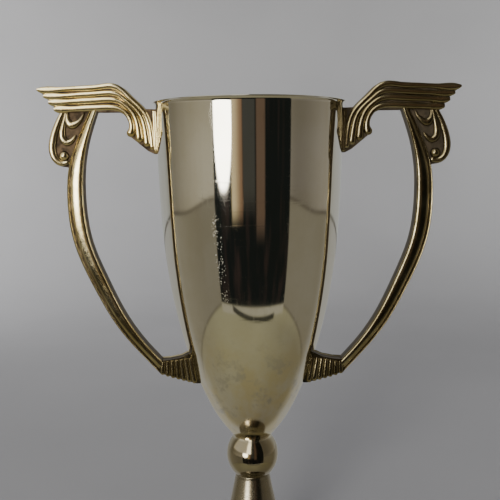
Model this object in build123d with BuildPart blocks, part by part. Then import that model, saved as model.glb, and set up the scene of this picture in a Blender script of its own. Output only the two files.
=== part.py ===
"""Two-handled presentation cup: spun bowl, ball knop, spun trumpet foot and two cast handles.

Millimetres, +Z up. The origin is the centre of the circle that the foot stands on.
The handles lie in the XZ plane, one on each side. Their outlines are given from the rim
down, as (distance from the cup's axis, height relative to the rim).
"""

from build123d import *
from math import cos, hypot, radians, sin
import os

# Driving dimensions
RIM_HEIGHT = 266.0
RIM_RADIUS = 50.0
BOWL_DEPTH = 178.7
BOWL_WALL = 1.3
BOWL_FLOOR = 3.0
NECK_RADIUS = 9.9
BALL_HEIGHT = 21.2
BALL_RADIUS = 13.9
BALL_POLE = 14.9
BALL_WALL = 1.2
STEM_TOP_RADIUS = 9.3
FOOT_RADIUS = 42.0
FOOT_WALL = 1.2
FOOT_RING_HEIGHT = 11.0
ROD_RADIUS = 3.0
ROD_CLEARANCE = 3.2
SCREW_RADIUS = 2.0
SCREW_CLEARANCE = 2.2
HANDLE_CORE = 3.2
REED_DEPTH = 4.7
SEAT_CLEARANCE = 0.04
LIP_HEIGHT = 0.5
LIP_THICKNESS = 0.6
LIP_ROUNDING = 0.25

# Heights that follow from them
BOWL_BOTTOM = RIM_HEIGHT - BOWL_DEPTH
BALL_BOTTOM = BOWL_BOTTOM - BALL_HEIGHT
BALL_CENTRE = BALL_BOTTOM + BALL_HEIGHT * 0.51

# The lip rolls outwards over the top of the bowl's wall
LIP_OUTLINE = [(RIM_RADIUS, -LIP_HEIGHT), (49.35, -1.0), (49.0, -1.7)]

# Outer wall of the bowl, from under the lip to the neck
BOWL_OUTLINE = [
    LIP_OUTLINE[-1],
    (48.1, -28.0),
    (45.7, -72.0),
    (38.7, -114.7),
    (25.8, -153.4),
    (18.1, -168.0),
    (NECK_RADIUS, -BOWL_DEPTH),
]

# Outer wall of the trumpet foot, from under the ball to the base ring
FOOT_OUTLINE = [
    (STEM_TOP_RADIUS, BALL_BOTTOM - 1.4),
    (12.0, BALL_BOTTOM - 14.6),
    (15.2, BALL_BOTTOM - 26.0),
    (21.5, BALL_BOTTOM - 38.0),
    (29.5, BALL_BOTTOM - 47.0),
    (FOOT_RADIUS - 3.5, FOOT_RING_HEIGHT + 0.6),
]

# The handle's strap: matching points on its outer and inner edges
STRAP_OUTER = [
    (82.6, -4.0),
    (88.5, -16.4),
    (94.2, -31.8),
    (95.8, -47.3),
    (93.0, -72.6),
    (83.2, -96.6),
    (70.6, -118.8),
    (60.3, -131.4),
    (48.6, -144.0),
]
STRAP_INNER = [
    (79.0, -4.0),
    (84.2, -19.8),
    (86.9, -36.0),
    (87.1, -50.0),
    (84.2, -71.9),
    (76.7, -91.5),
    (66.5, -112.5),
    (56.0, -127.5),
    (48.0, -136.4),
]

# The wing over the top of the handle, from its tip round to the point of its pad
WING_OUTLINE = [
    (109.6, 7.2),
    (77.4, 9.4),
    (67.6, 9.7),
    (55.3, -3.3),
    (46.0, -3.7),
    (46.0, -26.3),
    (49.6, -26.3),
    (53.0, -24.6),
    (61.0, -18.8),
    (63.4, -16.6),
    (62.0, -12.6),
    (62.2, -9.0),
    (64.2, -6.2),
    (67.5, -4.8),
    (99.0, -4.9),
    (104.8, 4.0),
]

# Centre line, corner radii and half width of each reed on the wing, top one first
REEDS = [
    ([(108.2, 6.6), (70.2, 8.3), (50.9, -9.5), (50.1, -23.0)], [5.0, 9.0], 1.4),
    ([(103.4, 3.6), (69.6, 5.4), (54.2, -6.2), (53.1, -21.6)], [7.0, 9.0], 1.35),
    ([(101.6, 0.6), (67.8, 1.9), (57.6, -5.6), (57.3, -18.6)], [7.0, 6.0], 1.6),
    ([(98.8, -3.1), (66.4, -1.9), (60.2, -7.0), (61.2, -15.6)], [5.0, 4.0], 1.6),
]
REED_END_RADII = [1.9, 2.0, 2.1, 2.3]

# The scrolled leaf that hangs under the wing
LEAF_OUTLINE = [
    (97.6, -4.6),
    (101.0, -11.2),
    (103.9, -18.6),
    (104.6, -24.8),
    (102.4, -29.8),
    (98.4, -32.3),
    (94.4, -33.0),
]
LEAF_INNER_POINTS = [(88.0, -20.0), (82.0, -4.6)]
LEAF_BANDS = [
    ([(97.0, -5.4), (104.9, -21.5), (103.2, -31.2), (96.4, -31.0)], [9.0, 4.2], 1.35),
    ([(95.2, -5.4), (99.4, -17.0), (96.4, -22.6), (90.2, -16.6)], [4.0, 2.4], 1.1),
    ([(94.6, -5.6), (94.9, -13.8), (90.4, -12.4), (85.6, -5.6)], [2.2, 2.6], 1.1),
]
VOLUTE_CENTRE = (97.2, -27.2)
VOLUTE_RADIUS = 2.7

# How far each part of the handle reaches to either side of its middle plane
STRAP_FACE_DEPTH = 4.6
STRAP_BEAD_DEPTH = 4.1
LEAF_WEB_DEPTH = 2.4
LEAF_BAND_DEPTH = 3.8
VOLUTE_DEPTH = 4.0
REED_END_DEPTH = 4.4
SOCKET_CORE_DEPTH = 4.2

# Shares of the strap's width: its rounded face ends at the first, its bead begins at the second
STRAP_FACE_SHARE = 0.8
STRAP_BEAD_SHARE = 0.88
STRAP_FACE_ROUNDING = 1.2

# The ribbed socket where the strap meets the bowl
RIB_COUNT = 7
SOCKET_TOP = [(48.6, -136.2), (32.0, -132.4)]
SOCKET_BOTTOM = [(49.4, -143.6), (28.6, -149.4)]
SOCKET_DEPTH = 4.9
SOCKET_CORE = [
    SOCKET_TOP[0],
    SOCKET_TOP[1],
    (26.0, -134.0),
    (26.0, -148.6),
    (29.0, -148.6),
    (48.9, -143.0),
]
RIB_GAP_SHARE = 0.06


def inset(points, wall):
    """The points moved towards the axis side of a wall, square to the line through neighbours."""
    moved = []
    last = len(points) - 1
    for place, (radius, height) in enumerate(points):
        before = points[max(place - 1, 0)]
        after = points[min(place + 1, last)]
        along_radius = after[0] - before[0]
        along_height = after[1] - before[1]
        length = hypot(along_radius, along_height)
        moved.append(
            (radius + wall * along_height / length, height - wall * along_radius / length)
        )
    return moved


def between(first, second, share):
    """Points that lie a share of the way from each first point to its second."""
    return [
        (a[0] + (b[0] - a[0]) * share, a[1] + (b[1] - a[1]) * share)
        for a, b in zip(first, second)
    ]


def save(piece, name):
    """Labels a finished piece and writes it under its node's name."""
    piece.part.label = name
    export_step(piece.part, f"parts/{name}.step")


os.makedirs("parts", exist_ok=True)

# The plane that both handles lie in, with its origin on the cup's axis at the rim
RIM_PLANE = Plane(origin=(0, 0, RIM_HEIGHT), x_dir=(1, 0, 0), z_dir=(0, -1, 0))

# ---------------------------------------------------------------- bowl
# The solid outer shape of the bowl, which the handles are fitted against
with BuildPart() as bowl_blank:
    with BuildSketch(RIM_PLANE):
        with BuildLine():
            ThreePointArc(*LIP_OUTLINE)
            Spline(*BOWL_OUTLINE)
            Polyline(
                (NECK_RADIUS, -BOWL_DEPTH),
                (0, -BOWL_DEPTH),
                (0, 0),
                (RIM_RADIUS - LIP_THICKNESS, 0),
                (RIM_RADIUS, -LIP_HEIGHT),
            )
        make_face()
    revolve(axis=Axis.Z)

INNER_WALL = inset(BOWL_OUTLINE, BOWL_WALL)
FLOOR_HEIGHT = -BOWL_DEPTH + BOWL_FLOOR
FLOOR_CURVE_HEIGHT = 4.0
INNER_POINTS = [p for p in INNER_WALL if p[1] > FLOOR_HEIGHT + FLOOR_CURVE_HEIGHT]
FLOOR_RADIUS = 10.6
ABOVE_RIM = 2.0

with BuildPart() as bowl:
    add(bowl_blank.part)
    with BuildSketch(RIM_PLANE):
        with BuildLine():
            Spline(*INNER_POINTS, (FLOOR_RADIUS, FLOOR_HEIGHT))
            Polyline(
                (FLOOR_RADIUS, FLOOR_HEIGHT),
                (0, FLOOR_HEIGHT),
                (0, ABOVE_RIM),
                (INNER_POINTS[0][0] + LIP_ROUNDING, ABOVE_RIM),
                INNER_POINTS[0],
            )
        make_face()
    revolve(axis=Axis.Z, mode=Mode.SUBTRACT)
    with Locations((0, 0, BOWL_BOTTOM)):
        Cylinder(ROD_CLEARANCE, 4 * BOWL_FLOOR, mode=Mode.SUBTRACT)

# ---------------------------------------------------------------- handle screws
# Each handle is held by two screws that pass through the bowl's wall from inside.
# (inner wall radius, height relative to the rim, tilt below the horizontal)
UPPER_SEAT = (46.92, -15.0, 0.0)
LOWER_SEAT = (30.05, -138.2, 19.7)
WASHER_RADIUS = 4.0
WASHER_THICK = 0.8
SCREW_HEAD_RADIUS = 3.4
SCREW_HEAD_HEIGHT = 2.2
SCREW_HEAD_ROUNDING = 0.8
SCREW_SLOT = 0.9
SCREW_LENGTH = 8.5


def seat_plane(seat, side):
    """A plane whose normal points out of the bowl along a screw, on the right or left side."""
    radius, height, tilt = seat
    slope = radians(tilt)
    return Plane(
        origin=(side * radius, 0, RIM_HEIGHT + height),
        x_dir=(0, 1, 0),
        z_dir=(side * cos(slope), 0, -sin(slope)),
    )


def bores(side, radius):
    """The two screw shanks of one side as plain cylinders of a given radius."""
    with BuildPart() as shanks:
        for seat in (UPPER_SEAT, LOWER_SEAT):
            with BuildSketch(seat_plane(seat, side).offset(-WASHER_THICK)):
                Circle(radius)
            extrude(amount=SCREW_LENGTH + WASHER_THICK)
    return shanks.part


RIGHT_CLEARANCE = bores(1, SCREW_CLEARANCE)
LEFT_CLEARANCE = bores(-1, SCREW_CLEARANCE)
RIGHT_SHANKS = bores(1, SCREW_RADIUS)

with BuildPart() as drilled_bowl:
    add(bowl.part)
    add(RIGHT_CLEARANCE, mode=Mode.SUBTRACT)
    add(LEFT_CLEARANCE, mode=Mode.SUBTRACT)
    lip_edges = drilled_bowl.edges().filter_by(GeomType.CIRCLE).group_by(Axis.Z)[-1]
    fillet(lip_edges, LIP_ROUNDING)
save(drilled_bowl, "bowl")


def slotted_screw(seat, side):
    """A pan-head screw, slotted across its head."""
    seat_face = seat_plane(seat, side).offset(-WASHER_THICK)
    with BuildPart() as screw:
        with BuildSketch(seat_face):
            Circle(SCREW_HEAD_RADIUS)
        extrude(amount=-SCREW_HEAD_HEIGHT)
        fillet(screw.faces().sort_by(Axis(seat_face.origin, seat_face.z_dir))[0].edges(), SCREW_HEAD_ROUNDING)
        with BuildSketch(seat_face):
            Circle(SCREW_RADIUS)
        extrude(amount=SCREW_LENGTH + WASHER_THICK)
        with BuildSketch(seat_face.offset(-SCREW_HEAD_HEIGHT)):
            Rectangle(SCREW_SLOT, 3 * SCREW_HEAD_RADIUS)
        extrude(amount=SCREW_SLOT, mode=Mode.SUBTRACT)
    return screw.part


UPPER_SCREWS = [slotted_screw(UPPER_SEAT, side) for side in (1, -1)]
LOWER_SCREWS = [slotted_screw(LOWER_SEAT, side) for side in (1, -1)]

with BuildPart() as upper_handle_screws:
    add(UPPER_SCREWS)
save(upper_handle_screws, "upper_handle_screws")

with BuildPart() as lower_handle_screws:
    add(LOWER_SCREWS)
save(lower_handle_screws, "lower_handle_screws")

with BuildPart() as handle_washers:
    for seat in (UPPER_SEAT, LOWER_SEAT):
        for side in (1, -1):
            with BuildSketch(seat_plane(seat, side)):
                Circle(WASHER_RADIUS)
                Circle(SCREW_RADIUS, mode=Mode.SUBTRACT)
            extrude(amount=-WASHER_THICK)
save(handle_washers, "handle_washers")

# ---------------------------------------------------------------- handles


def strap_strip(inner_share, outer_share, half_depth, rounding=0.0):
    """One lengthwise strip of the strap, between two shares of its width."""
    low = between(STRAP_INNER, STRAP_OUTER, inner_share)
    high = between(STRAP_INNER, STRAP_OUTER, outer_share)
    with BuildPart() as strip:
        with BuildSketch(RIM_PLANE):
            with BuildLine():
                Spline(*low)
                Spline(*high)
                Line(low[0], high[0])
                Line(low[-1], high[-1])
            make_face()
        extrude(amount=half_depth, both=True)
        if rounding:
            fillet(strip.edges().filter_by(GeomType.BSPLINE), rounding)
    return strip.part


def plate(outline, half_depth):
    """A flat plate in the handle's plane."""
    with BuildPart() as flat:
        with BuildSketch(RIM_PLANE):
            with BuildLine():
                Polyline(*outline, close=True)
            make_face()
        extrude(amount=half_depth, both=True)
    return flat.part


def leaf_plate(half_depth):
    """The thin web behind the scrolled leaf, with a curved outer edge."""
    with BuildPart() as web:
        with BuildSketch(RIM_PLANE):
            with BuildLine():
                Spline(*LEAF_OUTLINE)
                Polyline(LEAF_OUTLINE[-1], *LEAF_INNER_POINTS, LEAF_OUTLINE[0])
            make_face()
        extrude(amount=half_depth, both=True)
    return web.part


def raised_band(points, radii, half_width, half_depth):
    """A band with an oval section that stands out on both faces of the handle."""
    with BuildPart() as band:
        with BuildLine(RIM_PLANE) as route:
            FilletPolyline(*points, radius=radii)
        start = route.line @ 0
        with BuildSketch(Plane(origin=start, x_dir=(0, 1, 0), z_dir=route.line % 0)):
            Ellipse(half_depth, half_width)
        sweep(path=route.line)
    return band.part


def button(centre, radius, half_depth):
    """A round boss through the handle with its two ends rounded over."""
    with BuildPart() as boss:
        with BuildSketch(RIM_PLANE):
            with Locations(centre):
                Circle(radius)
        extrude(amount=half_depth, both=True)
        fillet(boss.edges().filter_by(GeomType.CIRCLE), radius * 0.6)
    return boss.part


def socket_rib(place):
    """One upright rib of the socket, taller and more tilted towards the bowl."""
    shares = [(place + side) / RIB_COUNT for side in (RIB_GAP_SHARE, 1 - RIB_GAP_SHARE)]
    top = [between(SOCKET_TOP[:1], SOCKET_TOP[1:], share)[0] for share in shares]
    base = [between(SOCKET_BOTTOM[:1], SOCKET_BOTTOM[1:], share)[0] for share in shares]
    return plate([top[0], top[1], base[1], base[0]], SOCKET_DEPTH)


HANDLE_PIECES = [
    strap_strip(0.0, STRAP_FACE_SHARE, STRAP_FACE_DEPTH, rounding=STRAP_FACE_ROUNDING),
    strap_strip(0.0, 1.0, HANDLE_CORE),
    strap_strip(STRAP_BEAD_SHARE, 1.0, STRAP_BEAD_DEPTH),
    plate(WING_OUTLINE, HANDLE_CORE),
    leaf_plate(LEAF_WEB_DEPTH),
    *[raised_band(points, radii, width, REED_DEPTH) for points, radii, width in REEDS],
    *[raised_band(points, radii, width, LEAF_BAND_DEPTH) for points, radii, width in LEAF_BANDS],
    button(VOLUTE_CENTRE, VOLUTE_RADIUS, VOLUTE_DEPTH),
    *[
        button(reed[0][-1], radius, REED_END_DEPTH)
        for reed, radius in zip(REEDS, REED_END_RADII)
    ],
    plate(SOCKET_CORE, SOCKET_CORE_DEPTH),
    *[socket_rib(place) for place in range(RIB_COUNT)],
]

# The handle's feet are filed to the bowl's own curve, with a film of clearance
SEAT_OUTLINE = inset(BOWL_OUTLINE, -SEAT_CLEARANCE)
with BuildPart() as handle_seat:
    with BuildSketch(RIM_PLANE):
        with BuildLine():
            Spline(*SEAT_OUTLINE)
            Polyline(
                SEAT_OUTLINE[-1],
                (0, SEAT_OUTLINE[-1][1]),
                (0, SEAT_OUTLINE[0][1]),
                SEAT_OUTLINE[0],
            )
        make_face()
    revolve(axis=Axis.Z)

with BuildPart() as right_handle:
    for piece in HANDLE_PIECES:
        add(piece)
    add(handle_seat.part, mode=Mode.SUBTRACT)
    add(RIGHT_SHANKS, mode=Mode.SUBTRACT)
save(right_handle, "right_handle")

with BuildPart() as left_handle:
    mirror(right_handle.part, about=Plane.YZ)
save(left_handle, "left_handle")

# ---------------------------------------------------------------- ball knop
BALL_FLAT_WIDTH = 18.3
with BuildPart() as ball_knop:
    with BuildSketch(Plane.XZ):
        with Locations((0, BALL_CENTRE)):
            Ellipse(BALL_RADIUS, BALL_POLE)
            Ellipse(BALL_RADIUS - BALL_WALL, BALL_POLE - BALL_WALL, mode=Mode.SUBTRACT)
        for flat in (BOWL_BOTTOM - BALL_WALL / 2, BALL_BOTTOM + BALL_WALL / 2):
            with Locations((0, flat)):
                Rectangle(BALL_FLAT_WIDTH, BALL_WALL)
        with Locations((0, (BOWL_BOTTOM + BALL_BOTTOM) / 2)):
            Rectangle(3 * BALL_RADIUS, BALL_HEIGHT, mode=Mode.INTERSECT)
        with Locations((-BALL_RADIUS, BALL_CENTRE)):
            Rectangle(2 * BALL_RADIUS, 3 * BALL_RADIUS, mode=Mode.SUBTRACT)
        with Locations((0, BALL_CENTRE)):
            Rectangle(2 * ROD_CLEARANCE, 3 * BALL_RADIUS, mode=Mode.SUBTRACT)
    revolve(axis=Axis.Z)
save(ball_knop, "ball_knop")

# ---------------------------------------------------------------- foot
STEM_LIP = 0.4
STEM_LIP_HEIGHT = 0.5
STEM_INNER_BEVEL_WIDTH = 1.0
STEM_INNER_BEVEL_HEIGHT = 0.6
STEM_INNER_RADIUS = STEM_TOP_RADIUS - FOOT_WALL
STEM_UNDERSIDE = BALL_BOTTOM - FOOT_WALL
FOOT_INNER = inset(FOOT_OUTLINE, FOOT_WALL)
FOOT_INNER[0] = (STEM_INNER_RADIUS, STEM_UNDERSIDE - STEM_INNER_BEVEL_HEIGHT)
FOOT_INNER[-1] = (FOOT_OUTLINE[-1][0], FOOT_OUTLINE[-1][1] - FOOT_WALL)

with BuildPart() as foot:
    with BuildSketch(Plane.XZ):
        with BuildLine():
            Spline(*FOOT_OUTLINE)
            Line(FOOT_OUTLINE[-1], FOOT_INNER[-1])
            Spline(*FOOT_INNER)
            Polyline(
                FOOT_INNER[0],
                (STEM_INNER_RADIUS - STEM_INNER_BEVEL_WIDTH, STEM_UNDERSIDE),
                (ROD_CLEARANCE, STEM_UNDERSIDE),
                (ROD_CLEARANCE, BALL_BOTTOM),
                (STEM_TOP_RADIUS - STEM_LIP, BALL_BOTTOM),
                (STEM_TOP_RADIUS, BALL_BOTTOM - STEM_LIP_HEIGHT),
                FOOT_OUTLINE[0],
            )
        make_face()
    revolve(axis=Axis.Z)
save(foot, "trumpet_foot")

# The base ring has a rounded moulding over an upright skirt and is turned in at the floor
RING_SHOULDER = FOOT_OUTLINE[-1][1] - FOOT_WALL
RING_MOULDING = [
    (FOOT_RADIUS - 3.5, RING_SHOULDER),
    (FOOT_RADIUS - 1.6, RING_SHOULDER - 1.7),
    (FOOT_RADIUS - 2.2, RING_SHOULDER - 3.4),
]
RING_OUTLINE = [
    RING_MOULDING[-1],
    (FOOT_RADIUS - 0.8, 6.4),
    (FOOT_RADIUS - 0.8, 4.6),
    (FOOT_RADIUS, 4.0),
    (FOOT_RADIUS, 0.0),
    (FOOT_RADIUS - 6.0, 0.0),
    (FOOT_RADIUS - 6.0, 1.2),
    (FOOT_RADIUS - 3.0, 1.2),
    (FOOT_RADIUS - 3.8, RING_SHOULDER - 1.4),
    (FOOT_RADIUS - 6.4, RING_SHOULDER - 1.2),
    (FOOT_RADIUS - 6.4, RING_SHOULDER - 0.25),
    RING_MOULDING[0],
]
with BuildPart() as base_ring:
    with BuildSketch(Plane.XZ):
        with BuildLine():
            Polyline(*RING_OUTLINE)
            ThreePointArc(*RING_MOULDING)
        make_face()
    revolve(axis=Axis.Z)
save(base_ring, "base_ring")

# ---------------------------------------------------------------- tie rod and its nuts
WASHER_HEIGHT = 1.2
BOWL_WASHER_RADIUS = 8.5
FOOT_WASHER_RADIUS = 6.9
NUT_CORNER_RADIUS = 5.77
NUT_HEIGHT = 5.0
DOME_RADIUS = 4.8
ROD_CHAMFER = 0.5
WASHER_CHAMFER = 0.3
ROD_ABOVE_WASHER = 7.5
ROD_BELOW_NUT = 3.0
FLOOR_TOP = BOWL_BOTTOM + BOWL_FLOOR
DOME_NUT_BOTTOM = FLOOR_TOP + WASHER_HEIGHT
DOME_BOTTOM = DOME_NUT_BOTTOM + NUT_HEIGHT
FOOT_NUT_TOP = STEM_UNDERSIDE - WASHER_HEIGHT
ROD_TOP = DOME_NUT_BOTTOM + ROD_ABOVE_WASHER
ROD_BOTTOM = FOOT_NUT_TOP - NUT_HEIGHT - ROD_BELOW_NUT

with BuildPart() as tie_rod:
    with BuildSketch(Plane.XY.offset(ROD_BOTTOM)):
        Circle(ROD_RADIUS)
    extrude(amount=ROD_TOP - ROD_BOTTOM)
    chamfer(tie_rod.edges().filter_by(GeomType.CIRCLE), ROD_CHAMFER)
save(tie_rod, "tie_rod")

with BuildPart() as bowl_washer:
    with BuildSketch(Plane.XY.offset(FLOOR_TOP)):
        Circle(BOWL_WASHER_RADIUS)
        Circle(ROD_RADIUS, mode=Mode.SUBTRACT)
    extrude(amount=WASHER_HEIGHT)
    top_edges = bowl_washer.edges().group_by(Axis.Z)[-1]
    chamfer(top_edges.sort_by(SortBy.RADIUS)[-1], WASHER_CHAMFER)
save(bowl_washer, "bowl_washer")

with BuildPart() as dome_nut:
    with BuildSketch(Plane.XY.offset(DOME_NUT_BOTTOM)):
        RegularPolygon(NUT_CORNER_RADIUS, 6)
    extrude(amount=NUT_HEIGHT)
    with BuildSketch(Plane.XZ):
        with BuildLine():
            Polyline((0, DOME_BOTTOM + DOME_RADIUS), (0, DOME_BOTTOM), (DOME_RADIUS, DOME_BOTTOM))
            RadiusArc((0, DOME_BOTTOM + DOME_RADIUS), (DOME_RADIUS, DOME_BOTTOM), DOME_RADIUS)
        make_face()
    revolve(axis=Axis.Z)
    with BuildSketch(Plane.XY.offset(DOME_NUT_BOTTOM)):
        Circle(ROD_RADIUS)
    extrude(amount=ROD_TOP - DOME_NUT_BOTTOM, mode=Mode.SUBTRACT)
save(dome_nut, "dome_nut")

with BuildPart() as foot_washer:
    with BuildSketch(Plane.XY.offset(STEM_UNDERSIDE)):
        Circle(FOOT_WASHER_RADIUS)
        Circle(ROD_RADIUS, mode=Mode.SUBTRACT)
    extrude(amount=-WASHER_HEIGHT)
save(foot_washer, "foot_washer")

with BuildPart() as foot_nut:
    with BuildSketch(Plane.XY.offset(FOOT_NUT_TOP)):
        RegularPolygon(NUT_CORNER_RADIUS, 6)
        Circle(ROD_RADIUS, mode=Mode.SUBTRACT)
    extrude(amount=-NUT_HEIGHT)
save(foot_nut, "foot_nut")
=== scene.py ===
import math

import bmesh
import bpy
import numpy as np
from mathutils import Matrix, Vector


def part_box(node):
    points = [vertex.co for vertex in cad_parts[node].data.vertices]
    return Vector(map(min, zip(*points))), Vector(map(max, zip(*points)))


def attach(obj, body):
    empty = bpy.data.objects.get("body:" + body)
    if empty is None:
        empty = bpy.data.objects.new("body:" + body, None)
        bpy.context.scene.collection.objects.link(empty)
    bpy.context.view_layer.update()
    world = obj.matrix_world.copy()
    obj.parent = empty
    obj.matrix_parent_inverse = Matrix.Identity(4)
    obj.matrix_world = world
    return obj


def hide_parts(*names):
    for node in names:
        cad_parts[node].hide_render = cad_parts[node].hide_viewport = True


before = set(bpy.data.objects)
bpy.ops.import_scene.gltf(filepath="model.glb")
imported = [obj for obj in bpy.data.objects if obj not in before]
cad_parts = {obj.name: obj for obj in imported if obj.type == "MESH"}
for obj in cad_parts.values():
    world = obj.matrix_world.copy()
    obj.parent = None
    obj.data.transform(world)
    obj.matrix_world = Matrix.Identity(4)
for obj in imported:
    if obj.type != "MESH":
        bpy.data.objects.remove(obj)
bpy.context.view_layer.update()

# Sizes in millimetres, as in the CAD; heights on the bowl and handles count from the rim
RIM_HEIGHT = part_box("bowl")[1][2] * 1000
BOWL_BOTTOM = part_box("bowl")[0][2] * 1000
BALL_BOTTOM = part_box("ball_knop")[0][2] * 1000
FOOT_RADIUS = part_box("base_ring")[1][0] * 1000
RIM_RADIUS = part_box("bowl")[1][0] * 1000
BOWL_DEPTH = RIM_HEIGHT - BOWL_BOTTOM
BOWL_WALL = 1.3
BOWL_FLOOR = 3.0
FLOOR_RADIUS = 10.4
FLOOR_TOP = -BOWL_DEPTH + BOWL_FLOOR
BALL_WALL = 1.2
BALL_RADIUS = 13.9
BALL_POLE = 14.9
FOOT_WALL = 1.2
ROD_CLEARANCE = 3.2
LATHE_SEGMENTS = 288

# The same two joints in metres, where the finish changes
BOWL_JOINT = 0.001 * BOWL_BOTTOM
FOOT_JOINT = 0.001 * BALL_BOTTOM


# ---------------------------------------------------------------- curves


def spline(points, steps):
    """A natural cubic spline through rows of numbers, sampled evenly between its points."""
    points = np.array(points, float)
    gaps = np.linalg.norm(np.diff(points[:, :2], axis=0), axis=1)
    count = len(points)
    system = np.eye(count)
    right = np.zeros_like(points)
    for i in range(1, count - 1):
        system[i, i - 1] = gaps[i - 1]
        system[i, i] = 2 * (gaps[i - 1] + gaps[i])
        system[i, i + 1] = gaps[i]
        rise = (points[i + 1] - points[i]) / gaps[i]
        fall = (points[i] - points[i - 1]) / gaps[i - 1]
        right[i] = 6 * (rise - fall)
    bend = np.linalg.solve(system, right)
    samples = []
    for i, gap in enumerate(gaps):
        for t in np.linspace(0, 1, steps, endpoint=False):
            a = 1 - t
            curve = (a**3 - a) * bend[i] + (t**3 - t) * bend[i + 1]
            samples.append(a * points[i] + t * points[i + 1] + curve * gap * gap / 6)
    samples.append(points[-1])
    return np.array(samples)


def inset(points, wall):
    """The points of an outline moved square to it, towards the axis."""
    points = np.array(points, float)
    along = np.gradient(points, axis=0)
    along /= np.linalg.norm(along, axis=1)[:, None]
    return points + wall * np.stack([along[:, 1], -along[:, 0]], axis=1)


def arc(centre, radius, start, end, steps):
    """Points on a circle's arc, angles in degrees."""
    angles = np.radians(np.linspace(start, end, steps))
    return [(centre[0] + radius * math.cos(a), centre[1] + radius * math.sin(a)) for a in angles]


# ---------------------------------------------------------------- meshes

# Edges that turn more than this stay sharp
SPUN_SHARP_DEGREES = 38.0
CASTING_SHARP_DEGREES = 50.0


def new_piece(name, vertices, faces, sharp_degrees=SPUN_SHARP_DEGREES):
    """A shaded mesh object from millimetre vertices."""
    mesh = bpy.data.meshes.new(name)
    mesh.from_pydata([tuple(0.001 * c for c in v) for v in vertices], [], faces)
    mesh.validate()
    body = bmesh.new()
    body.from_mesh(mesh)
    bmesh.ops.recalc_face_normals(body, faces=body.faces)
    body.to_mesh(mesh)
    body.free()
    mesh.shade_smooth()
    mesh.set_sharp_from_angle(angle=math.radians(sharp_degrees))
    piece = bpy.data.objects.new(name, mesh)
    bpy.context.scene.collection.objects.link(piece)
    return piece


def lathe(name, outline, base_height=0.0):
    """A closed outline of (radius, height) turned about the cup's axis."""
    turns = np.linspace(0, 2 * math.pi, LATHE_SEGMENTS, endpoint=False)
    count = len(outline)
    vertices = [
        (r * math.cos(a), r * math.sin(a), base_height + z) for a in turns for r, z in outline
    ]
    faces = []
    for i in range(LATHE_SEGMENTS):
        here, there = i * count, (i + 1) % LATHE_SEGMENTS * count
        for j in range(count):
            k = (j + 1) % count
            faces.append((here + j, here + k, there + k, there + j))
    return new_piece(name, vertices, faces)


# How domed the bands of the casting are: 1 would be half round
BAND_DOME = 0.6
BAND_STEPS = 7
BAND_LEAST_WIDTH = 0.05
BAND_END_ANGLES = [25, 45, 62, 76]


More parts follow.
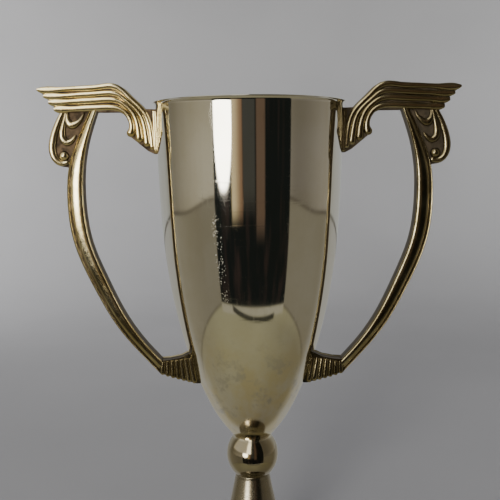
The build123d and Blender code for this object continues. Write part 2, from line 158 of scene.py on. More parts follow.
class Casting:
    """Vertices and faces of one handle, gathered piece by piece; heights count from the rim."""

    def __init__(self):
        self.vertices = []
        self.faces = []
        self.looks = []

    def loops(self, rings, look):
        """Skins a row of equal rings of points and closes both ends."""
        start = len(self.vertices)
        size = len(rings[0])
        for ring in rings:
            self.vertices += [tuple(p) for p in ring]
        for i in range(len(rings) - 1):
            for j in range(size):
                k = (j + 1) % size
                a, b = start + i * size, start + (i + 1) * size
                self.faces.append((a + j, a + k, b + k, b + j))
                self.looks.append(look)
        self.faces.append(tuple(start + j for j in range(size)))
        last = start + (len(rings) - 1) * size
        self.faces.append(tuple(last + j for j in reversed(range(size))))
        self.looks += [look, look]

    def reed(self, stations, steps=8):
        """A rounded band along (x, z, half width, half depth), standing out on both faces."""
        samples = spline(stations, steps)
        along = np.gradient(samples[:, :2], axis=0)
        along /= np.linalg.norm(along, axis=1)[:, None]
        across = np.stack([-along[:, 1], along[:, 0]], axis=1)
        rows = [(s[:2], n, s[2], s[3]) for s, n in zip(samples, across)]
        tip, normal, width, depth = rows[-1]
        for angle in np.radians(BAND_END_ANGLES):
            place = tip + along[-1] * width * math.sin(angle)
            share = math.cos(angle)
            rows.append((place, normal, width * share, depth - width * (1 - share)))
        self.loops([self.stadium(*row) for row in rows], 0)

    @staticmethod
    def stadium(place, normal, width, depth):
        """A slot-shaped section: flat sides and a domed front and back."""
        width = max(width, BAND_LEAST_WIDTH)
        bulge = min(BAND_DOME * width, depth)
        flat = depth - bulge
        ring = []
        for side in (-1, 1):
            for angle in np.linspace(0, math.pi, BAND_STEPS + 1):
                shift = width * math.cos(angle) * -side
                y = side * (flat + bulge * math.sin(angle))
                spot = place + normal * shift
                ring.append((spot[0], y, spot[1]))
        return ring

    def plate(self, outline, half_depth, look, edge=0.35):
        """A flat plate with a small chamfer round its two faces."""
        outline = np.array(outline, float)
        ahead = np.roll(outline, -1, axis=0) - outline
        ahead /= np.linalg.norm(ahead, axis=1)[:, None]
        behind = np.roll(ahead, 1, axis=0)
        inward = np.stack([-(ahead + behind)[:, 1], (ahead + behind)[:, 0]], axis=1)
        inward /= np.maximum(np.linalg.norm(inward, axis=1)[:, None], 1e-6)
        turn = outline - np.roll(outline, 1, axis=0)
        area = np.sum(turn[:, 0] * outline[:, 1] - turn[:, 1] * outline[:, 0])
        inward *= 1.0 if area > 0 else -1.0
        small = outline + inward * edge
        rings = []
        for points, y in (
            (small, -half_depth),
            (outline, edge - half_depth),
            (outline, half_depth - edge),
            (small, half_depth),
        ):
            rings.append([(p[0], y, p[1]) for p in points])
        self.loops(rings, look)

    def knob(self, centre, radius, half_depth):
        """A round boss through the handle, domed at both ends."""
        rings = []
        for angle in np.radians(np.linspace(-84, 84, 15)):
            r = radius * math.cos(angle)
            y = (half_depth - radius) * np.sign(angle) + radius * math.sin(angle)
            rings.append(
                [
                    (centre[0] + r * math.cos(t), y, centre[1] + r * math.sin(t))
                    for t in np.linspace(0, 2 * math.pi, 24, endpoint=False)
                ]
            )
        self.loops(rings, 0)

    def piece(self, name, side):
        """The casting as an object, on the right (side 1) or mirrored on the left (-1)."""
        vertices = [(side * x, y, RIM_HEIGHT + z) for x, y, z in self.vertices]
        made = new_piece(name, vertices, self.faces, CASTING_SHARP_DEGREES)
        made.data.polygons.foreach_set("material_index", self.looks)
        return made


# ---------------------------------------------------------------- node helpers


def link(tree, source, target):
    """Joins a socket or sets a plain value."""
    if isinstance(source, bpy.types.NodeSocket):
        tree.links.new(source, target)
    else:
        target.default_value = source


def calc(tree, operation, a, b=0.0, clamp=False):
    """A Math node."""
    node = tree.nodes.new("ShaderNodeMath")
    node.operation = operation
    node.use_clamp = clamp
    link(tree, a, node.inputs[0])
    link(tree, b, node.inputs[1])
    return node.outputs[0]


def ramp(tree, value, low, high, out_low=0.0, out_high=1.0):
    """A smooth step of a value from low to high."""
    node = tree.nodes.new("ShaderNodeMapRange")
    node.interpolation_type = "SMOOTHSTEP"
    link(tree, value, node.inputs["Value"])
    node.inputs["From Min"].default_value = low
    node.inputs["From Max"].default_value = high
    node.inputs["To Min"].default_value = out_low
    node.inputs["To Max"].default_value = out_high
    return node.outputs["Result"]


def blend(tree, share, first, second):
    """A colour mix; colours are (r, g, b) or sockets."""
    node = tree.nodes.new("ShaderNodeMix")
    node.data_type = "RGBA"
    link(tree, share, node.inputs["Factor"])
    for colour, socket in ((first, node.inputs["A"]), (second, node.inputs["B"])):
        link(tree, (*colour, 1.0) if isinstance(colour, tuple) else colour, socket)
    return node.outputs["Result"]


def noise(tree, place, scale, detail=3.0, rough=0.5, stretch=(1, 1, 1)):
    """A noise value of a stretched position."""
    mapping = tree.nodes.new("ShaderNodeMapping")
    mapping.inputs["Scale"].default_value = stretch
    tree.links.new(place, mapping.inputs["Vector"])
    node = tree.nodes.new("ShaderNodeTexNoise")
    node.inputs["Scale"].default_value = scale
    node.inputs["Detail"].default_value = detail
    node.inputs["Roughness"].default_value = rough
    tree.links.new(mapping.outputs["Vector"], node.inputs["Vector"])
    return node.outputs["Fac"]


def new_material(name):
    """A material with its node tree, its shader and an object-space position."""
    material = bpy.data.materials.new(name)
    material.use_nodes = True
    tree = material.node_tree
    shader = tree.nodes["Principled BSDF"]
    place = tree.nodes.new("ShaderNodeTexCoord").outputs["Object"]
    return material, tree, shader, place


def split(tree, place):
    """The x, y and z of a position."""
    node = tree.nodes.new("ShaderNodeSeparateXYZ")
    tree.links.new(place, node.inputs[0])
    return node.outputs[0], node.outputs[1], node.outputs[2]


def bump(tree, shader, height, strength, distance):
    """Adds a bump to a shader."""
    node = tree.nodes.new("ShaderNodeBump")
    node.inputs["Strength"].default_value = strength
    node.inputs["Distance"].default_value = distance
    tree.links.new(height, node.inputs["Height"])
    tree.links.new(node.outputs["Normal"], shader.inputs["Normal"])


# ---------------------------------------------------------------- materials


# The scuffed line on the bowl: how far left of the middle, its middle's height, its lean, and
# the heights where it fades out at its lower and upper end
SCUFF_LEFT = 0.0145
SCUFF_MIDDLE = 0.187
SCUFF_LEAN = 0.12
SCUFF_LOWER_END = (0.164, 0.170)
SCUFF_UPPER_END = (0.213, 0.203)
# Water stains start at the first height and are full at the second
STAIN_HEIGHTS = (0.165, 0.115)
# The casting's hollows lie below the first depth, and its rubbed faces above the second
RECESS_DEPTHS = (0.0030, 0.0040)


def scuffed_line(tree, x, y, z):
    """Where the bowl was scuffed: a ragged upright line left of the middle of its front."""
    wander = calc(tree, "MULTIPLY", calc(tree, "SUBTRACT", z, SCUFF_MIDDLE), SCUFF_LEAN)
    across = calc(tree, "ABSOLUTE", calc(tree, "ADD", calc(tree, "ADD", x, SCUFF_LEFT), wander))
    near = ramp(tree, across, 0.0032, 0.0012)
    lower_end = ramp(tree, z, *SCUFF_LOWER_END)
    upper_end = ramp(tree, z, *SCUFF_UPPER_END)
    ends = calc(tree, "MULTIPLY", lower_end, upper_end)
    front = calc(tree, "LESS_THAN", y, 0.0)
    return calc(tree, "MULTIPLY", calc(tree, "MULTIPLY", near, ends), front)


def silver_plate():
    """Old silver plate: polished, warm, with water stains low down, fine scratches and pits."""
    material, tree, shader, place = new_material("worn_silver_plate")
    x, y, z = split(tree, place)
    cloud = noise(tree, place, 26.0, 5.0, 0.6)
    patches = noise(tree, place, 60.0, 6.0, 0.65, (1, 1, 0.6))
    low = ramp(tree, z, *STAIN_HEIGHTS)
    streaks = noise(tree, place, 45.0, 4.0, 0.6, (1, 1, 0.12))
    warm = calc(tree, "MULTIPLY", low, ramp(tree, patches, 0.35, 0.62), clamp=True)
    colour = blend(tree, ramp(tree, cloud, 0.35, 0.7), (0.86, 0.83, 0.76), (0.80, 0.76, 0.65))
    colour = blend(tree, ramp(tree, streaks, 0.45, 0.75, 0.0, 0.4), colour, (0.74, 0.68, 0.54))
    colour = blend(tree, calc(tree, "MULTIPLY", warm, 0.75), colour, (0.80, 0.69, 0.43))
    grey = calc(tree, "MULTIPLY", low, ramp(tree, noise(tree, place, 85.0, 5.0, 0.7), 0.52, 0.66))
    colour = blend(tree, calc(tree, "MULTIPLY", grey, 0.8), colour, (0.60, 0.575, 0.54))
    fine = noise(tree, place, 900.0, 2.0, 0.5, (1, 1, 0.04))
    cross = noise(tree, place, 700.0, 2.0, 0.5, (0.05, 0.05, 1))
    hair = calc(tree, "ADD", ramp(tree, fine, 0.62, 0.72), ramp(tree, cross, 0.64, 0.74))
    pits = tree.nodes.new("ShaderNodeTexVoronoi")
    pits.inputs["Scale"].default_value = 420.0
    tree.links.new(place, pits.inputs["Vector"])
    specks = calc(tree, "MULTIPLY", ramp(tree, pits.outputs["Distance"], 0.16, 0.07), low)
    specks = calc(tree, "MULTIPLY", specks, ramp(tree, patches, 0.5, 0.66))
    colour = blend(tree, calc(tree, "MULTIPLY", specks, 0.55), colour, (0.25, 0.20, 0.12))
    rough = ramp(tree, cloud, 0.3, 0.75, 0.035, 0.07)
    rough = calc(tree, "ADD", rough, ramp(tree, low, 0, 1, 0, 0.03))
    rough = calc(tree, "ADD", rough, calc(tree, "MULTIPLY", hair, 0.04))
    dents = tree.nodes.new("ShaderNodeTexVoronoi")
    dents.inputs["Scale"].default_value = 1250.0
    tree.links.new(place, dents.inputs["Vector"])
    dented = ramp(tree, dents.outputs["Distance"], 0.40, 0.22)
    grit = calc(tree, "MULTIPLY", dented, ramp(tree, fine, 0.46, 0.54))
    scuffs = calc(tree, "MULTIPLY", scuffed_line(tree, x, y, z), grit)
    rough = calc(tree, "ADD", rough, calc(tree, "MULTIPLY", scuffs, 0.40))
    rough = calc(tree, "ADD", rough, calc(tree, "MULTIPLY", warm, 0.05), clamp=True)
    below_bowl = ramp(tree, z, BOWL_JOINT + 0.0007, BOWL_JOINT - 0.0013)
    tarnish = calc(tree, "MULTIPLY", below_bowl, ramp(tree, cloud, 0.25, 0.6, 0.45, 0.75))
    colour = blend(tree, tarnish, colour, (0.30, 0.25, 0.16))
    dull = ramp(tree, z, FOOT_JOINT + 0.0004, FOOT_JOINT - 0.0006)
    rough = calc(tree, "ADD", rough, calc(tree, "MULTIPLY", dull, 0.16))
    colour = blend(tree, calc(tree, "MULTIPLY", dull, 0.6), colour, (0.24, 0.21, 0.16))
    tree.links.new(colour, shader.inputs["Base Color"])
    tree.links.new(rough, shader.inputs["Roughness"])
    shader.inputs["Metallic"].default_value = 1.0
    ripple = noise(tree, place, 16.0, 1.0, 0.4, (1, 1, 0.35))
    height = calc(tree, "ADD", ripple, calc(tree, "MULTIPLY", hair, 0.02))
    height = calc(tree, "SUBTRACT", height, calc(tree, "MULTIPLY", specks, 0.03))
    bump(tree, shader, height, 0.10, 0.0009)
    return material


def gilt(name, recess):
    """Gilt brass casting: bright where it is rubbed, brown-black in its hollows, with painted shade on
    its lower part and all over the right-hand handle.
    """
    material, tree, shader, place = new_material(name)
    x, y, z = split(tree, place)
    grain = noise(tree, place, 240.0, 5.0, 0.6)
    cloud = noise(tree, place, 60.0, 4.0, 0.55)
    depth = calc(tree, "ABSOLUTE", y)
    depth = calc(tree, "ADD", depth, calc(tree, "MULTIPLY", calc(tree, "SUBTRACT", grain, 0.5), 0.0012))
    raised = ramp(tree, depth, *RECESS_DEPTHS)
    gold = blend(tree, ramp(tree, cloud, 0.35, 0.7), (0.94, 0.82, 0.52), (0.84, 0.68, 0.34))
    dark = blend(tree, ramp(tree, grain, 0.35, 0.7), (0.06, 0.042, 0.026), (0.25, 0.17, 0.10))
    share = calc(tree, "MULTIPLY", raised, 0.25 if recess else 1.0)
    colour = blend(tree, share, dark, gold)
    # Painted shade: the casting is darkened in mottled patches towards its lower end and over the whole
    # right-hand handle
    painted_shade = ramp(tree, z, 0.215, 0.165, 0.0, 0.6)
    painted_shade = calc(tree, "MAXIMUM", painted_shade, ramp(tree, x, -0.01, 0.01, 0.0, 0.72))
    painted_shade = calc(tree, "MULTIPLY", painted_shade, ramp(tree, cloud, 0.3, 0.6, 0.6, 1.0))
    colour = blend(tree, painted_shade, colour, (0.10, 0.085, 0.06))
    tree.links.new(colour, shader.inputs["Base Color"])
    shader.inputs["Metallic"].default_value = 1.0 if not recess else 0.75
    rough = ramp(tree, share, 0.0, 1.0, 0.5, 0.17)
    rough = calc(tree, "ADD", rough, ramp(tree, grain, 0.4, 0.8, 0.0, 0.12))
    tree.links.new(rough, shader.inputs["Roughness"])
    bump(tree, shader, grain, 0.35 if recess else 0.10, 0.0006)
    return material


def turned_metal(name, bright, dull, scale):
    """Turned or tumbled hardware, dull in patches, with fine tool marks."""
    material, tree, shader, place = new_material(name)
    cloud = noise(tree, place, scale, 4.0, 0.6)
    marks = noise(tree, place, 1500.0, 2.0, 0.5, (0.1, 0.1, 1))
    colour = blend(tree, ramp(tree, cloud, 0.35, 0.7), bright, dull)
    tree.links.new(colour, shader.inputs["Base Color"])
    tree.links.new(ramp(tree, cloud, 0.3, 0.8, 0.28, 0.5), shader.inputs["Roughness"])
    shader.inputs["Metallic"].default_value = 1.0
    bump(tree, shader, marks, 0.25, 0.0002)
    return material


def pale_ground():
    """The studio sweep: plain, pale and matt."""
    material, tree, shader, place = new_material("pale_ground")
    cloud = noise(tree, place, 3.0, 3.0, 0.5)
    colour = blend(tree, ramp(tree, cloud, 0.3, 0.7), (0.40, 0.40, 0.41), (0.43, 0.43, 0.44))
    tree.links.new(colour, shader.inputs["Base Color"])
    shader.inputs["Roughness"].default_value = 0.9
    shader.inputs["Specular IOR Level"].default_value = 0.1
    return material


# ---------------------------------------------------------------- the spun pieces

# The lip rolls outwards over the wall; its top is (radius, height) from the wall to the rim
LIP_OUTLINE = [(RIM_RADIUS, -0.5), (49.35, -1.0), (49.0, -1.7)]
INNER_RIM = LIP_OUTLINE[-1][0] - BOWL_WALL
LIP_TOP = [
    (INNER_RIM, -0.3),
    (INNER_RIM + 0.3, 0.0),
    (RIM_RADIUS - 0.8, 0.0),
    (RIM_RADIUS - 0.4, -0.1),
    (RIM_RADIUS - 0.1, -0.28),
]
BOWL_OUTLINE = [
    LIP_OUTLINE[-1],
    (48.1, -28.0),
    (45.7, -72.0),
    (38.7, -114.7),
    (25.8, -153.4),
    (18.1, -168.0),
    (9.9, -BOWL_DEPTH),
]
FOOT_OUTLINE = [
    (9.3, BALL_BOTTOM - 1.4),
    (12.0, BALL_BOTTOM - 14.6),
    (15.2, BALL_BOTTOM - 26.0),
    (21.5, BALL_BOTTOM - 38.0),
    (29.5, BALL_BOTTOM - 47.0),
    (FOOT_RADIUS - 3.5, 11.6),
]
BALL_STEPS = 44


def make_bowl():
    """The bowl's outside, its foot ring, the floor and the inside wall, up to the rounded lip."""
    outside = spline(BOWL_OUTLINE, 24)
    inside = inset(outside, BOWL_WALL)
    inside = [p for p in inside if p[1] > FLOOR_TOP + 1.0]
    roll = [tuple(p) for p in spline(LIP_OUTLINE, 6)[:-1]]
    outline = [
        *LIP_TOP,
        *roll,
        *[tuple(p) for p in outside],
        (ROD_CLEARANCE, -BOWL_DEPTH),
        (ROD_CLEARANCE, FLOOR_TOP),
        (FLOOR_RADIUS, FLOOR_TOP),
        *[tuple(p) for p in inside[::-1]],
    ]
    return lathe("spun_bowl", outline, RIM_HEIGHT)


def make_ball():
    """The hollow ball, flat where the bowl and the foot sit on it."""
    centre = BALL_BOTTOM + (BOWL_BOTTOM - BALL_BOTTOM) * 0.51
    skins = []
    for wall in (0.0, BALL_WALL):
        across, up = BALL_RADIUS - wall, BALL_POLE - wall
        top = math.asin((BOWL_BOTTOM - wall - centre) / up)
        base = math.asin((BALL_BOTTOM + wall - centre) / up)
        angles = np.linspace(top, base, BALL_STEPS)
        skins.append([(across * math.cos(a), centre + up * math.sin(a)) for a in angles])
    outside, inside = skins
    outline = [
        (ROD_CLEARANCE, BOWL_BOTTOM),
        *outside,
        (ROD_CLEARANCE, BALL_BOTTOM),
        (ROD_CLEARANCE, BALL_BOTTOM + BALL_WALL),
        *inside[::-1],
        (ROD_CLEARANCE, BOWL_BOTTOM - BALL_WALL),
    ]
    return lathe("ball", outline)


def make_foot():
    """The trumpet foot, thin and open underneath, with a rounded lip under the ball."""
    outside = spline(FOOT_OUTLINE, 20)
    inside = inset(outside, FOOT_WALL)
    inside = [tuple(p) for p in inside if p[1] < BALL_BOTTOM - 2.4]
    lip = arc((8.75, BALL_BOTTOM - 0.6), 0.6, 90, 5, 5)
    outline = [
        (ROD_CLEARANCE, BALL_BOTTOM),
        *lip,
        *[tuple(p) for p in outside],
        (FOOT_RADIUS - 3.5, 10.4),
        *inside[::-1],
        (7.4, BALL_BOTTOM - FOOT_WALL),
        (ROD_CLEARANCE, BALL_BOTTOM - FOOT_WALL),
    ]
    return lathe("spun_foot", outline)


def make_base_ring():
    """The stepped ring that carries the foot."""
    outer = FOOT_RADIUS
    outline = [
        (outer - 6.4, 10.15),
        (outer - 3.5, 10.4),
        *arc((outer - 3.3, 8.6), 1.75, 84, -40, 10),
        (outer - 0.9, 6.5),
        *arc((outer - 1.2, 5.9), 0.45, 60, -10, 4),
        (outer - 0.8, 4.6),
        *arc((outer - 0.5, 3.6), 0.5, 90, 0, 4),
        *arc((outer - 0.4, 0.4), 0.4, 0, -90, 4),
        (outer - 6.0, 0.0),
        (outer - 6.0, 1.2),
        (outer - 3.0, 1.2),
        (outer - 3.8, 9.0),
        (outer - 6.4, 9.2),
    ]
    return lathe("stepped_base_ring", outline)


# ---------------------------------------------------------------- the handle casting

# The strap's edges: matching points on its outer and inner side, from the wing down
STRAP_OUTER = [
    (82.6, -4.0),
    (88.5, -16.4),
    (94.2, -31.8),
    (95.8, -47.3),
    (93.0, -72.6),
    (83.2, -96.6),
    (70.6, -118.8),
    (60.3, -131.4),
    (48.6, -144.0),
]
STRAP_INNER = [
    (79.0, -4.0),
    (84.2, -19.8),
    (86.9, -36.0),
    (87.1, -50.0),
    (84.2, -71.9),
    (76.7, -91.5),
    (66.5, -112.5),
    (56.0, -127.5),
    (48.0, -136.4),
]
# Half depth across the strap, from its inner edge (0) to its outer edge (1)
STRAP_SECTION = [
    (0.00, 3.5),
    (0.03, 4.15),
    (0.09, 4.6),
    (0.18, 4.8),
    (0.30, 4.78),
    (0.45, 4.6),
    (0.60, 4.32),
    (0.70, 4.02),
    (0.76, 3.65),
    (0.79, 3.2),
    (0.85, 3.15),
    (0.875, 3.65),
    (0.905, 4.0),
    (0.94, 4.1),
    (0.975, 3.9),
    (1.00, 3.4),
]
REED_DEPTH = 4.7
# (x, height, half width) along each reed of the wing, top one first, from its tip to the pad
REEDS = [
    [
        (109.4, 7.0, 0.5), (108.2, 6.8, 1.2), (98.0, 6.9, 1.45), (87.7, 7.4, 1.4),
        (77.4, 8.0, 1.45), (70.6, 8.4, 1.5), (66.9, 7.0, 1.5), (62.0, 2.5, 1.5),
        (53.8, -6.2, 1.5), (50.9, -17.0, 1.4), (50.4, -23.0, 1.5),
    ],
    [
        (106.2, 3.7, 0.7), (105.2, 3.6, 1.25), (96.0, 3.6, 1.4), (87.8, 4.1, 1.35),
        (77.5, 4.7, 1.35), (67.4, 3.9, 1.3), (63.6, 1.0, 1.3), (55.9, -7.2, 1.4),
        (53.7, -16.2, 1.7), (53.1, -21.0, 2.0),
    ],
    [
        (103.6, 0.5, 0.9), (102.7, 0.4, 1.45), (95.0, 0.5, 1.6), (87.9, 0.9, 1.6),
        (77.6, 1.4, 1.55), (67.0, 0.5, 1.4), (63.3, -2.0, 1.4), (60.3, -5.2, 1.4),
        (57.2, -18.6, 2.1),
    ],
    [
        (100.9, -3.1, 0.9), (100.0, -3.1, 1.5), (93.2, -3.1, 1.7), (86.0, -2.8, 1.7),
        (77.7, -2.5, 1.65), (64.3, -4.8, 1.35), (61.1, -10.6, 1.35), (61.0, -13.4, 1.6),
        (61.6, -15.6, 2.2),
    ],
]
# The plates behind the reeds and behind the leaf's bands
WING_DEPTH = 3.1
WING_OUTLINE = [
    (108.6, 6.6),
    (77.4, 8.6),
    (67.8, 9.0),
    (55.6, -3.6),
    (47.6, -3.8),
    (47.6, -26.2),
    (49.6, -26.2),
    (53.0, -24.4),
    (61.0, -17.8),
    (62.0, -12.6),
    (62.2, -9.0),
    (64.2, -6.0),
    (67.5, -4.4),
    (99.4, -4.4),
    (102.0, 0.4),
]
LEAF_DEPTH = 2.4
LEAF_OUTLINE = [
    (97.8, -4.6),
    (101.0, -11.2),
    (103.6, -18.0),
    (104.4, -23.6),
    (103.6, -27.4),
    (101.6, -30.4),
    (98.4, -32.2),
    (94.6, -32.9),
    (88.4, -20.0),
    (82.2, -4.6),
]
# (x, height, half width, half depth) along each band of the leaf, from the wing down
LEAF_BANDS = [
    [
        (96.8, -4.8, 1.1, 3.9), (99.9, -11.2, 1.5, 4.0), (102.0, -17.6, 1.8, 4.1),
        (102.8, -22.6, 1.9, 4.1), (102.2, -26.8, 1.8, 4.1), (100.3, -29.8, 1.6, 4.1),
        (97.6, -31.0, 1.5, 4.0), (95.2, -30.6, 1.3, 3.9),
    ],
    [
        (95.0, -5.0, 0.8, 3.5), (96.5, -10.6, 1.2, 3.8), (97.4, -15.4, 1.7, 4.0),
        (96.7, -18.9, 1.9, 4.0), (94.8, -20.2, 1.7, 4.0), (92.6, -19.2, 1.2, 3.8),
        (90.6, -16.8, 0.6, 3.4),
    ],
    [
        (94.4, -5.0, 0.8, 3.4), (94.2, -9.2, 1.7, 3.8), (92.4, -11.2, 2.1, 4.0),
        (89.6, -10.2, 1.5, 3.8), (87.2, -7.8, 0.9, 3.5), (85.8, -5.2, 0.4, 3.1),
    ],
]
VOLUTE_CENTRE = (96.8, -27.2)
VOLUTE_RADIUS = 2.9
VOLUTE_DEPTH = 4.4
# The narrow edge of the pad, where it lies against the bowl
PAD_EDGE = [(49.4, -4.6, 0.9, 4.3), (49.1, -15.0, 0.9, 4.3), (48.8, -25.2, 0.9, 4.3)]
SOCKET_DEPTH = 4.5
SOCKET_OUTLINE = [
    (49.0, -136.6),
    (44.0, -136.4),
    (38.0, -135.2),
    (32.6, -132.6),
    (26.0, -133.0),
    (26.0, -148.4),
    (29.4, -148.4),
    (48.8, -142.8),
]
RIB_COUNT = 7
RIB_DEPTH = 4.9


def strap(casting):
    """The long curved strap: a rounded face, a groove and a thin bead along the outside."""
    outer = spline(STRAP_OUTER, 14)
    inner = spline(STRAP_INNER, 14)
    rings = []
    for place in range(len(outer)):
        a, b = inner[place], outer[place]
        grow = min(1.0, 0.95 + 0.01 * place)
        front = [(*(a + (b - a) * share), -depth * grow) for share, depth in STRAP_SECTION]
        back = [(x, z, -y) for x, z, y in front[::-1]]
        rings.append([(x, y, z) for x, z, y in front + back])
    casting.loops(rings, 0)


def socket(casting):
    """The ribbed socket at the strap's lower end, spreading towards the bowl."""
    casting.plate(SOCKET_OUTLINE, SOCKET_DEPTH, 0, 0.5)
    for i in range(RIB_COUNT):
        share = (i + 0.5) / RIB_COUNT
        top = (48.6 - 17.0 * share, -137.2 + 2.2 * share)
        base = (49.2 - 20.0 * share, -142.4 - 5.6 * share**0.8)
        width = 1.1 + 0.35 * share
        middle = ((top[0] + base[0]) / 2, (top[1] + base[1]) / 2)
        stations = [
            (*top, width * 0.8, RIB_DEPTH),
            (*middle, width, RIB_DEPTH + 0.05),
            (*base, width, RIB_DEPTH),
        ]
        casting.reed(stations, steps=4)


def make_handle(name, side):
    """One whole handle."""
    casting = Casting()
    strap(casting)
    casting.plate(WING_OUTLINE, WING_DEPTH, 1)
    casting.plate(LEAF_OUTLINE, LEAF_DEPTH, 1)
    for stations in REEDS:
        casting.reed([(*station, REED_DEPTH) for station in stations])
    for stations in LEAF_BANDS:
        casting.reed(stations, steps=6)
    casting.reed(PAD_EDGE, steps=6)
    casting.knob(VOLUTE_CENTRE, VOLUTE_RADIUS, VOLUTE_DEPTH)
    socket(casting)
    return casting.piece(name, side)


# ---------------------------------------------------------------- build and dress

SILVER = silver_plate()
GILT = gilt("gilt_casting", False)
GILT_RECESS = gilt("oxidised_recess", True)
BRASS = turned_metal("dull_brass", (0.72, 0.55, 0.28), (0.50, 0.36, 0.18), 220.0)
NICKEL = turned_metal("dull_nickel", (0.72, 0.69, 0.62), (0.52, 0.49, 0.42), 260.0)

for piece, node in (
    (make_bowl(), "bowl"),
    (make_ball(), "ball_knop"),
    (make_foot(), "trumpet_foot"),
    (make_base_ring(), "base_ring"),
):
    piece.data.materials.append(SILVER)
    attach(piece, "root")
    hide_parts(node)

for name, node, side in (
    ("right_casting", "right_handle", 1),
    ("left_casting", "left_handle", -1),
):
    piece = make_handle(name, side)
    piece.data.materials.append(GILT)
    piece.data.materials.append(GILT_RECESS)
    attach(piece, "root")
    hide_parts(node)

HARDWARE = {
    "tie_rod": BRASS,
    "bowl_washer": BRASS,
    "foot_washer": BRASS,
    "foot_nut": BRASS,
    "handle_washers": BRASS,
    "dome_nut": NICKEL,
    "upper_handle_screws": NICKEL,
    "lower_handle_screws": NICKEL,
}
for node, material in HARDWARE.items():
    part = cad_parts[node]
    for holder in part.material_slots:
        holder.material = material


# ---------------------------------------------------------------- studio


def make_sweep():
    """A pale floor that curves up into a backdrop well behind the cup."""
    width, front, back, bend = 3.0, -2.0, 1.3, 0.5
    line = [(front, 0.0), (back - bend, 0.0)]
    line += [
        (back - bend + bend * math.sin(a), bend - bend * math.cos(a))
        for a in np.radians(np.linspace(8, 90, 12))
    ]
    line.append((back, 2.4))
    vertices = [(1000 * x, 1000 * y, 1000 * z) for y, z in line for x in (-width, width)]
    faces = [(2 * i, 2 * i + 1, 2 * i + 3, 2 * i + 2) for i in range(len(line) - 1)]
    sweep = new_piece("studio_sweep", vertices, faces)
    sweep.data.materials.append(pale_ground())
    sweep.visible_glossy = False


def make_light(name, place, target, size, power, colour):
    """A soft square lamp that the polished metal doesn't mirror."""
    data = bpy.data.lights.new(name, "AREA")
    data.size = size
    data.energy = power
    data.color = colour
    lamp = bpy.data.objects.new(name, data)
    lamp.location = place
    aim = Vector(target) - Vector(place)
    lamp.rotation_euler = aim.to_track_quat("-Z", "Y").to_euler()
    lamp.visible_glossy = False
    bpy.context.scene.collection.objects.link(lamp)


def band(tree, value, low, high, soft):
    """1 between low and high, with soft edges."""
    rise = ramp(tree, value, low - soft, low + soft)
    fall = ramp(tree, value, high - soft, high + soft, 1.0, 0.0)
    return calc(tree, "MULTIPLY", rise, fall)


# What the metal mirrors, in degrees round the cup (0 is its front, right is positive) and
# above the horizon
OPENING = (-44.5, 50.0)
OPENING_MIDDLE = 3.0
OPENING_HALF = 47.5
SILL = -31.9
WALL_FOLD = (-8.2, -7.4)
PAPER_FOLD = -30.2
WINDOW = (-43.2, -21.6)
WINDOW_MIDDLE = -32.3
WINDOW_HALF = 10.6
WINDOW_FOOT = -6.7
UPPER_PANES = (-100, -7)
BRIGHT_PANE = (-27, -7)
TAN_STRIP = (-22.5, -9.0)
SLATE_STRIP = (-8.5, 6.0)
COPPER_STRIP = (7.5, 18.0)
SHADOW = (-28, 36)
SHADOW_MIDDLE = 3.0
SHADOW_HALF = 32.0
SHADOW_FOOT = -35.2


def tent_walls(tree, turn, rise, spread):
    """The standing paper round the cup, paler on the left and behind."""
    wall = blend(tree, ramp(tree, turn, -130, -50), (0.16, 0.147, 0.112), (0.44, 0.41, 0.32))
    wall = blend(tree, ramp(tree, turn, 10, 60), wall, (0.16, 0.145, 0.115))
    wall = blend(tree, ramp(tree, turn, 60, 115), wall, (0.29, 0.27, 0.225))
    wall = blend(tree, ramp(tree, rise, -3, 2, 0.0, 0.25), wall, (0.10, 0.085, 0.045))
    return blend(tree, ramp(tree, spread, 105, 135), wall, (0.42, 0.43, 0.42))


def tent_ground(tree, turn, rise, spread):
    """The paper that slopes down to the cup, with a crease where it meets the table."""
    paper = blend(tree, ramp(tree, turn, -60, -115), (0.20, 0.185, 0.14), (0.25, 0.235, 0.18))
    droop = calc(tree, "MULTIPLY", calc(tree, "SUBTRACT", spread, 60), 0.06)
    under_fold = calc(tree, "SUBTRACT", rise, calc(tree, "SUBTRACT", PAPER_FOLD, droop))
    ground = blend(tree, ramp(tree, rise, -40, -75), (0.29, 0.275, 0.175), (0.20, 0.185, 0.135))
    away = ramp(tree, spread, 45, 95, 1.0, 0.45)
    share = calc(tree, "MULTIPLY", away, ramp(tree, under_fold, 0.5, -0.5))
    paper = blend(tree, share, paper, ground)
    falling = ramp(tree, rise, -30, -36, 0.0, 0.35)
    low_right = calc(tree, "MULTIPLY", ramp(tree, turn, 5, 60), falling)
    paper = blend(tree, low_right, paper, (0.10, 0.09, 0.07))
    low_crease = calc(tree, "MULTIPLY", band(tree, under_fold, -0.5, 0.5, 0.3), 0.45)
    paper = blend(tree, low_crease, paper, (0.07, 0.06, 0.045))
    behind = calc(tree, "MULTIPLY", ramp(tree, spread, 105, 135), 0.8)
    return blend(tree, behind, paper, (0.40, 0.40, 0.38))


def tent(tree, turn, rise):
    """Walls over ground, with the dark fold between them."""
    spread = calc(tree, "ABSOLUTE", turn)
    wall = tent_walls(tree, turn, rise, spread)
    paper = tent_ground(tree, turn, rise, spread)
    near_fold = ramp(tree, spread, 82, 45, *WALL_FOLD)
    fold = calc(tree, "ADD", near_fold, ramp(tree, spread, 84, 122, 0.0, 1.2))
    above_fold = calc(tree, "SUBTRACT", rise, fold)
    room = blend(tree, ramp(tree, above_fold, -0.4, 0.4), paper, wall)
    crease = calc(tree, "MULTIPLY", band(tree, above_fold, -0.25, 0.25, 0.2), 0.75)
    return blend(tree, crease, room, (0.045, 0.035, 0.025))


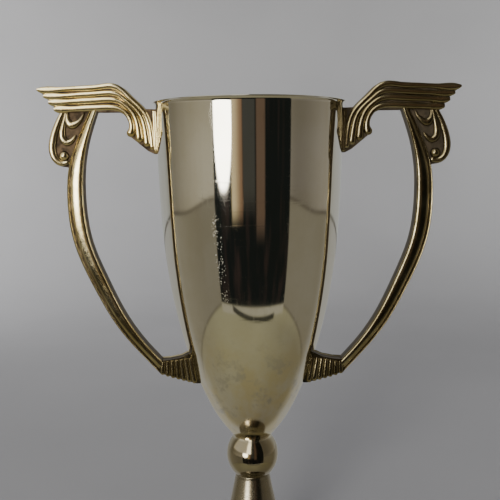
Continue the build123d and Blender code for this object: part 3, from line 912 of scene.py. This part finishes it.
def dark_opening(tree, direction, turn, rise, room):
    """The tent's open front: gloom with three dim upright strips, over a curved pale sill."""
    aside = calc(tree, "DIVIDE", calc(tree, "SUBTRACT", turn, OPENING_MIDDLE), OPENING_HALF)
    curve = calc(tree, "MULTIPLY", calc(tree, "MULTIPLY", aside, aside), 3.0)
    over_sill = calc(tree, "SUBTRACT", rise, calc(tree, "ADD", SILL, curve))
    inside = band(tree, turn, *OPENING, 0.8)
    glow = calc(tree, "MULTIPLY", inside, band(tree, over_sill, -2.4, 0.0, 0.3))
    room = blend(tree, glow, room, (0.34, 0.32, 0.24))
    opening = calc(tree, "MULTIPLY", inside, ramp(tree, over_sill, -0.3, 0.5))
    clutter = noise(tree, direction, 4.0, 3.0, 0.55, (1.6, 1.6, 0.5))
    gloom = blend(tree, ramp(tree, clutter, 0.45, 0.72), (0.010, 0.012, 0.011), (0.030, 0.022, 0.019))
    room = blend(tree, opening, room, gloom)
    copper = calc(tree, "MULTIPLY", band(tree, turn, *COPPER_STRIP, 1.3), ramp(tree, rise, -17, -10))
    room = blend(tree, calc(tree, "MULTIPLY", opening, copper), room, (0.125, 0.085, 0.058))
    slate = calc(tree, "MULTIPLY", band(tree, turn, *SLATE_STRIP, 1.2), ramp(tree, rise, -12, -6))
    room = blend(tree, calc(tree, "MULTIPLY", opening, slate), room, (0.058, 0.058, 0.050))
    tan = calc(tree, "MULTIPLY", band(tree, turn, *TAN_STRIP, 1.4), ramp(tree, rise, -13, -8.5))
    lit = blend(tree, ramp(tree, turn, -21, -10), (0.66, 0.54, 0.32), (0.24, 0.15, 0.09))
    return blend(tree, calc(tree, "MULTIPLY", opening, tan), room, lit)


def windows(tree, turn, rise, room):
    """A bright window with a rounded foot, the panes above it and the light overhead."""
    aside = calc(tree, "DIVIDE", calc(tree, "SUBTRACT", turn, WINDOW_MIDDLE), WINDOW_HALF)
    foot = calc(tree, "MULTIPLY", calc(tree, "POWER", calc(tree, "ABSOLUTE", aside), 3.0), 4.5)
    over_foot = calc(tree, "SUBTRACT", rise, calc(tree, "ADD", foot, WINDOW_FOOT))
    window = calc(tree, "MULTIPLY", band(tree, turn, *WINDOW, 0.8), ramp(tree, over_foot, -0.5, 0.6))
    room = blend(tree, window, room, (9.0, 8.8, 8.0))
    upper = calc(tree, "MULTIPLY", band(tree, turn, *UPPER_PANES, 4.0), ramp(tree, rise, 5, 10))
    panes = blend(tree, band(tree, turn, *BRIGHT_PANE, 3.0), (0.75, 0.72, 0.62), (3.4, 3.3, 2.9))
    room = blend(tree, upper, room, panes)
    zenith = blend(tree, ramp(tree, turn, -8, 4), (0.60, 0.60, 0.56), (0.10, 0.10, 0.09))
    return blend(tree, ramp(tree, rise, 48, 62), room, zenith)


def near_shadow(tree, turn, rise, room):
    """The dark crescent on the table in front of the cup."""
    drop = calc(tree, "DIVIDE", calc(tree, "SUBTRACT", turn, SHADOW_MIDDLE), SHADOW_HALF)
    bowed = calc(tree, "MULTIPLY", calc(tree, "MULTIPLY", drop, drop), 3.0)
    curl = calc(tree, "SUBTRACT", bowed, drop)
    under = calc(tree, "SUBTRACT", rise, calc(tree, "ADD", curl, SHADOW_FOOT))
    shade = calc(tree, "MULTIPLY", band(tree, turn, *SHADOW, 2.0), band(tree, under, -0.8, 0.8, 0.3))
    return blend(tree, calc(tree, "MULTIPLY", shade, 0.92), room, (0.012, 0.012, 0.010))


def make_room():
    """The world: a paper tent that only the metal mirrors, and plain grey for all other light."""
    world = bpy.data.worlds.new("studio_room")
    bpy.context.scene.world = world
    world.use_nodes = True
    tree = world.node_tree
    background = tree.nodes["Background"]
    direction = tree.nodes.new("ShaderNodeTexCoord").outputs["Generated"]
    x, y, z = split(tree, direction)
    ahead = calc(tree, "MULTIPLY", y, -1.0)
    turn = calc(tree, "DEGREES", calc(tree, "ARCTAN2", x, ahead))
    rise = calc(tree, "DEGREES", calc(tree, "ARCSINE", z))
    room = tent(tree, turn, rise)
    room = dark_opening(tree, direction, turn, rise, room)
    room = windows(tree, turn, rise, room)
    room = near_shadow(tree, turn, rise, room)
    path = tree.nodes.new("ShaderNodeLightPath")
    soft = blend(tree, path.outputs["Is Diffuse Ray"], room, (0.40, 0.40, 0.42))
    seen = blend(tree, path.outputs["Is Camera Ray"], soft, (0.36, 0.36, 0.37))
    tree.links.new(seen, background.inputs["Color"])
    background.inputs["Strength"].default_value = 1.0


make_sweep()
make_room()
make_light("window_side", (-0.5, -1.5, 0.75), (0.1, 0.6, 0.1), 0.4, 10.0, (1.0, 0.99, 0.97))
make_light("backdrop_left", (-0.8, 0.7, 0.5), (-0.4, 1.3, 0.2), 0.3, 3.4, (0.99, 0.99, 1.0))
make_light("backdrop_right", (0.95, 0.8, 0.4), (0.75, 1.3, 0.4), 0.3, 1.6, (0.96, 0.98, 1.0))

# The camera stands in front of the cup, a little lower than its rim, in metres and degrees
CAMERA_PLACE = (-0.00033, -0.4177, 0.001 * RIM_HEIGHT - 0.03092)
CAMERA_TILT = 6.38
CAMERA_ROLL = 0.53
CAMERA_LENS = 56.88
SENSOR_WIDTH = 36.0
camera_data = bpy.data.cameras.new("camera")
camera_data.sensor_width = SENSOR_WIDTH
camera_data.lens = CAMERA_LENS
camera_data.clip_start = 0.01
camera = bpy.data.objects.new("camera", camera_data)
stand = Matrix.Translation(CAMERA_PLACE)
lean = Matrix.Rotation(math.radians(90 - CAMERA_TILT), 4, "X")
roll = Matrix.Rotation(math.radians(-CAMERA_ROLL), 4, "Z")
camera.matrix_world = stand @ lean @ roll
bpy.context.scene.collection.objects.link(camera)
bpy.context.scene.camera = camera
